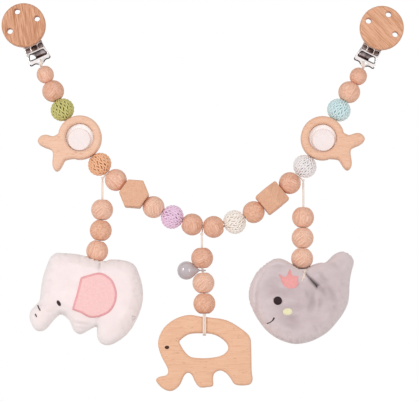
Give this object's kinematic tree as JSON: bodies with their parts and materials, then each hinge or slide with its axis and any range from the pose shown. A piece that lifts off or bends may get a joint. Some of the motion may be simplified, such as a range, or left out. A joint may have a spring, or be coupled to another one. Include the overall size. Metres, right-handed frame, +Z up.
{
  "type": "pram chain toy",
  "caption": "Pram chain toy: a cord of wooden and crocheted beads between two sprung clips, with two plush animals and a wooden one hanging from it",
  "frame": {"origin": "the left clip's jaw, on the middle plane of its pressed steel frame at the height of the hinge pin", "axes": "+X from the left clip towards the right clip along the string, +Y to the back, +Z up, with the string hanging in the plane Y = 0"},
  "size_m": [0.2772, 0.0296, 0.2666],
  "materials": {
    "beech": "turned beech, fine straight grain, waxed satin",
    "steel": "nickel-plated pressed steel, polished",
    "pad_plastic": "moulded, satin",
    "cord_cotton": "twisted cream cotton cord",
    "cotton_green": "crocheted mercerised cotton, olive green",
    "cotton_tan": "crocheted mercerised cotton, orange tan",
    "cotton_lilac": "crocheted mercerised cotton, lilac",
    "cotton_cream": "crocheted mercerised cotton, cream",
    "cotton_grey": "crocheted mercerised cotton, pale grey",
    "cotton_mint": "crocheted mercerised cotton, pale mint blue",
    "pearl_insert": "pinkish white, satin",
    "grey_enamel": "glossy dark grey",
    "plush_white": "short-pile plush, warm white",
    "plush_grey": "short-pile plush, grey mauve"
  },
  "bodies": {
    "clips": {"left_clip_frame": "steel", "left_clip_pin": "steel", "left_clip_pad": "pad_plastic", "right_clip_frame": "steel", "right_clip_pin": "steel", "right_clip_pad": "pad_plastic"},
    "left_lever": {"left_clip_lever": "steel", "left_clip_disc": "beech"},
    "right_lever": {"right_clip_lever": "steel", "right_clip_disc": "beech"},
    "string_cord": {"main_cord": "cord_cotton"},
    "bead_01_small_round_body": {"bead_01_small_round": "beech"},
    "bead_02_round_body": {"bead_02_round": "beech"},
    "bead_03_crochet_green_body": {"bead_03_crochet_green": "cotton_green"},
    "whale_ring_left_body": {"whale_ring_left": "beech", "whale_ring_left_insert": "pearl_insert"},
    "bead_05_crochet_tan_body": {"bead_05_crochet_tan": "cotton_tan"},
    "bead_06_round_body": {"bead_06_round": "beech"},
    "bead_07_hexagon_body": {"bead_07_hexagon": "beech"},
    "bead_08_round_body": {"bead_08_round": "beech"},
    "bead_09_crochet_lilac_body": {"bead_09_crochet_lilac": "cotton_lilac"},
    "bead_10_round_body": {"bead_10_round": "beech"},
    "bead_11_round_body": {"bead_11_round": "beech"},
    "bead_12_crochet_cream_body": {"bead_12_crochet_cream": "cotton_cream"},
    "bead_13_round_body": {"bead_13_round": "beech"},
    "bead_14_hexagon_body": {"bead_14_hexagon": "beech"},
    "bead_15_round_body": {"bead_15_round": "beech"},
    "bead_16_crochet_grey_body": {"bead_16_crochet_grey": "cotton_grey"},
    "whale_ring_right_body": {"whale_ring_right": "beech", "whale_ring_right_insert": "pearl_insert"},
    "bead_18_crochet_mint_body": {"bead_18_crochet_mint": "cotton_mint"},
    "bead_19_round_body": {"bead_19_round": "beech"},
    "bead_20_small_round_body": {"bead_20_small_round": "beech"},
    "left_tie_body": {"left_tie": "cord_cotton"},
    "left_hanging_cord": {"left_pendant_cord": "cord_cotton"},
    "left_pendant_bead_1_body": {"left_pendant_bead_1": "beech"},
    "left_pendant_bead_2_body": {"left_pendant_bead_2": "beech"},
    "left_pendant_bead_3_body": {"left_pendant_bead_3": "beech"},
    "left_toy": {"plush_elephant_body": "plush_white", "plush_elephant_front_leg": "plush_white", "plush_elephant_head": "plush_white", "plush_elephant_hind_leg": "plush_white"},
    "middle_tie_body": {"middle_tie": "cord_cotton"},
    "middle_hanging_cord": {"middle_pendant_cord": "cord_cotton"},
    "middle_pendant_bead_1_body": {"middle_pendant_bead_1": "beech"},
    "middle_pendant_bead_2_body": {"middle_pendant_bead_2": "beech"},
    "middle_pendant_bead_3_body": {"middle_pendant_bead_3": "beech"},
    "rattle_drop_body": {"rattle_drop": "grey_enamel"},
    "drop_pellet_body": {"drop_pellet": "steel"},
    "middle_toy": {"wooden_elephant": "beech", "rail_loop": "cord_cotton"},
    "right_tie_body": {"right_tie": "cord_cotton"},
    "right_hanging_cord": {"right_pendant_cord": "cord_cotton"},
    "right_pendant_bead_1_body": {"right_pendant_bead_1": "beech"},
    "right_pendant_bead_2_body": {"right_pendant_bead_2": "beech"},
    "right_pendant_bead_3_body": {"right_pendant_bead_3": "beech"},
    "right_toy": {"plush_whale_body": "plush_grey", "plush_whale_tail": "plush_grey"}
  },
  "joints": [
    {"name": "left_lever_hinge", "type": "hinge", "parent": "clips", "child": "left_lever", "pos_m": [0, -0.0046, 0], "axis": [-0.9063, 0, -0.4226], "range_deg": [0, 70]},
    {"name": "right_lever_hinge", "type": "hinge", "parent": "clips", "child": "right_lever", "pos_m": [0.25028, -0.0046, -0.00191], "axis": [-0.891, 0, 0.454], "range_deg": [0, 70]},
    {"name": "string_swing", "type": "hinge", "parent": "clips", "child": "string_cord", "pos_m": [0.0131, 0, -0.0281], "axis": [1, 0, -0.0064], "range_deg": [-45, 45]},
    {"name": "bead_01_small_round_spin", "type": "hinge", "parent": "string_cord", "child": "bead_01_small_round_body", "pos_m": [0.01606, 0, -0.03631], "axis": [0.4384, 0, -0.8988], "continuous": true},
    {"name": "bead_02_round_spin", "type": "hinge", "parent": "string_cord", "child": "bead_02_round_body", "pos_m": [0.02154, 0, -0.04781], "axis": [0.4226, 0, -0.9063], "continuous": true},
    {"name": "bead_03_crochet_green_spin", "type": "hinge", "parent": "string_cord", "child": "bead_03_crochet_green_body", "pos_m": [0.02803, 0, -0.06079], "axis": [0.4695, 0, -0.8829], "continuous": true},
    {"name": "whale_ring_left_spin", "type": "hinge", "parent": "string_cord", "child": "whale_ring_left_body", "pos_m": [0.04019, 0, -0.08026], "axis": [0.5592, 0, -0.829], "continuous": true},
    {"name": "bead_05_crochet_tan_spin", "type": "hinge", "parent": "string_cord", "child": "bead_05_crochet_tan_body", "pos_m": [0.05393, 0, -0.09871], "axis": [0.6691, 0, -0.7431], "continuous": true},
    {"name": "bead_06_round_spin", "type": "hinge", "parent": "string_cord", "child": "bead_06_round_body", "pos_m": [0.06513, 0, -0.10959], "axis": [0.766, 0, -0.6428], "continuous": true},
    {"name": "bead_07_hexagon_spin", "type": "hinge", "parent": "string_cord", "child": "bead_07_hexagon_body", "pos_m": [0.07782, 0, -0.11941], "axis": [0.809, 0, -0.5878], "continuous": true},
    {"name": "bead_08_round_spin", "type": "hinge", "parent": "string_cord", "child": "bead_08_round_body", "pos_m": [0.09117, 0, -0.12836], "axis": [0.8572, 0, -0.515], "continuous": true},
    {"name": "bead_09_crochet_lilac_spin", "type": "hinge", "parent": "string_cord", "child": "bead_09_crochet_lilac_body", "pos_m": [0.10409, 0, -0.13519], "axis": [0.9063, 0, -0.4226], "continuous": true},
    {"name": "bead_10_round_spin", "type": "hinge", "parent": "string_cord", "child": "bead_10_round_body", "pos_m": [0.11784, 0, -0.14039], "axis": [0.9613, 0, -0.2756], "continuous": true},
    {"name": "bead_11_round_spin", "type": "hinge", "parent": "string_cord", "child": "bead_11_round_body", "pos_m": [0.13256, 0, -0.14206], "axis": [0.9986, 0, 0.0523], "continuous": true},
    {"name": "bead_12_crochet_cream_spin", "type": "hinge", "parent": "string_cord", "child": "bead_12_crochet_cream_body", "pos_m": [0.14712, 0, -0.13873], "axis": [0.9272, 0, 0.3746], "continuous": true},
    {"name": "bead_13_round_spin", "type": "hinge", "parent": "string_cord", "child": "bead_13_round_body", "pos_m": [0.1602, 0, -0.13185], "axis": [0.829, 0, 0.5592], "continuous": true},
    {"name": "bead_14_hexagon_spin", "type": "hinge", "parent": "string_cord", "child": "bead_14_hexagon_body", "pos_m": [0.17307, 0, -0.12221], "axis": [0.7771, 0, 0.6293], "continuous": true},
    {"name": "bead_15_round_spin", "type": "hinge", "parent": "string_cord", "child": "bead_15_round_body", "pos_m": [0.18523, 0, -0.11174], "axis": [0.7314, 0, 0.682], "continuous": true},
    {"name": "bead_16_crochet_grey_spin", "type": "hinge", "parent": "string_cord", "child": "bead_16_crochet_grey_body", "pos_m": [0.19562, 0, -0.10011], "axis": [0.6018, 0, 0.7986], "continuous": true},
    {"name": "whale_ring_right_spin", "type": "hinge", "parent": "string_cord", "child": "whale_ring_right_body", "pos_m": [0.20791, 0, -0.08069], "axis": [0.5, 0, 0.866], "continuous": true},
    {"name": "bead_18_crochet_mint_spin", "type": "hinge", "parent": "string_cord", "child": "bead_18_crochet_mint_body", "pos_m": [0.21929, 0, -0.06099], "axis": [0.5, 0, 0.866], "continuous": true},
    {"name": "bead_19_round_spin", "type": "hinge", "parent": "string_cord", "child": "bead_19_round_body", "pos_m": [0.22649, 0, -0.04852], "axis": [0.5, 0, 0.866], "continuous": true},
    {"name": "bead_20_small_round_spin", "type": "hinge", "parent": "string_cord", "child": "bead_20_small_round_body", "pos_m": [0.23284, 0, -0.03752], "axis": [0.5, 0, 0.866], "continuous": true},
    {"name": "left_tie_swing", "type": "hinge", "parent": "string_cord", "child": "left_tie_body", "pos_m": [0.05942, 0, -0.10473], "axis": [-0.7193, 0, 0.6947], "range_deg": [-30, 30]},
    {"name": "left_cord_sway", "type": "hinge", "parent": "left_tie_body", "child": "left_hanging_cord", "pos_m": [0.05581, 0, -0.10847], "axis": [0, 1, 0], "range_deg": [0, 10]},
    {"name": "left_pendant_bead_1_spin", "type": "hinge", "parent": "left_hanging_cord", "child": "left_pendant_bead_1_body", "pos_m": [0.05569, 0, -0.13022], "axis": [-0.0175, 0, -0.9998], "continuous": true},
    {"name": "left_pendant_bead_2_spin", "type": "hinge", "parent": "left_hanging_cord", "child": "left_pendant_bead_2_body", "pos_m": [0.05482, 0, -0.14452], "axis": [-0.1045, 0, -0.9945], "continuous": true},
    {"name": "left_pendant_bead_3_spin", "type": "hinge", "parent": "left_hanging_cord", "child": "left_pendant_bead_3_body", "pos_m": [0.05244, 0, -0.15872], "axis": [-0.225, 0, -0.9744], "continuous": true},
    {"name": "left_toy_twist", "type": "hinge", "parent": "left_hanging_cord", "child": "left_toy", "pos_m": [0.05244, 0, -0.15872], "axis": [-0.225, 0, -0.9744], "range_deg": [-90, 90]},
    {"name": "middle_tie_swing", "type": "hinge", "parent": "string_cord", "child": "middle_tie_body", "pos_m": [0.12508, 0, -0.14233], "axis": [-0.9936, 0, 0.1132], "range_deg": [-30, 30]},
    {"name": "middle_cord_sway", "type": "hinge", "parent": "middle_tie_body", "child": "middle_hanging_cord", "pos_m": [0.12449, 0, -0.1475], "axis": [0, 1, 0], "range_deg": [-4, 4]},
    {"name": "middle_pendant_bead_1_spin", "type": "hinge", "parent": "middle_hanging_cord", "child": "middle_pendant_bead_1_body", "pos_m": [0.12472, 0, -0.16355], "axis": [0.0349, 0, -0.9994], "continuous": true},
    {"name": "middle_pendant_bead_2_spin", "type": "hinge", "parent": "middle_hanging_cord", "child": "middle_pendant_bead_2_body", "pos_m": [0.12562, 0, -0.18072], "axis": [0.0698, 0, -0.9976], "continuous": true},
    {"name": "middle_pendant_bead_3_spin", "type": "hinge", "parent": "middle_hanging_cord", "child": "middle_pendant_bead_3_body", "pos_m": [0.12625, 0, -0.19497], "axis": [0.0175, 0, -0.9998], "continuous": true},
    {"name": "rattle_drop_spin", "type": "hinge", "parent": "middle_hanging_cord", "child": "rattle_drop_body", "pos_m": [0.12517, 0, -0.17213], "axis": [0.0523, 0, -0.9986], "continuous": true},
    {"name": "drop_pellet_roll", "type": "slide", "parent": "rattle_drop_body", "child": "drop_pellet_body", "axis": [1, 0, 0], "range_m": [-0.0014, 0.0014]},
    {"name": "middle_toy_twist", "type": "hinge", "parent": "middle_hanging_cord", "child": "middle_toy", "pos_m": [0.12625, 0, -0.19497], "axis": [0, 0, -1], "range_deg": [-90, 90]},
    {"name": "right_tie_swing", "type": "hinge", "parent": "string_cord", "child": "right_tie_body", "pos_m": [0.19067, 0, -0.10658], "axis": [-0.6691, 0, -0.7431], "range_deg": [-30, 30]},
    {"name": "right_cord_sway", "type": "hinge", "parent": "right_tie_body", "child": "right_hanging_cord", "pos_m": [0.19453, 0, -0.11006], "axis": [0, -1, 0], "range_deg": [0, 10]},
    {"name": "right_pendant_bead_1_spin", "type": "hinge", "parent": "right_hanging_cord", "child": "right_pendant_bead_1_body", "pos_m": [0.19429, 0, -0.13551], "axis": [-0.0349, 0, -0.9994], "continuous": true},
    {"name": "right_pendant_bead_2_spin", "type": "hinge", "parent": "right_hanging_cord", "child": "right_pendant_bead_2_body", "pos_m": [0.19392, 0, -0.14969], "axis": [-0.0175, 0, -0.9998], "continuous": true},
    {"name": "right_pendant_bead_3_spin", "type": "hinge", "parent": "right_hanging_cord", "child": "right_pendant_bead_3_body", "pos_m": [0.19355, 0, -0.16387], "axis": [-0.0349, 0, -0.9994], "continuous": true},
    {"name": "right_toy_twist", "type": "hinge", "parent": "right_hanging_cord", "child": "right_toy", "pos_m": [0.19355, 0, -0.16387], "axis": [-0.0349, 0, -0.9994], "range_deg": [-90, 90]}
  ]
}
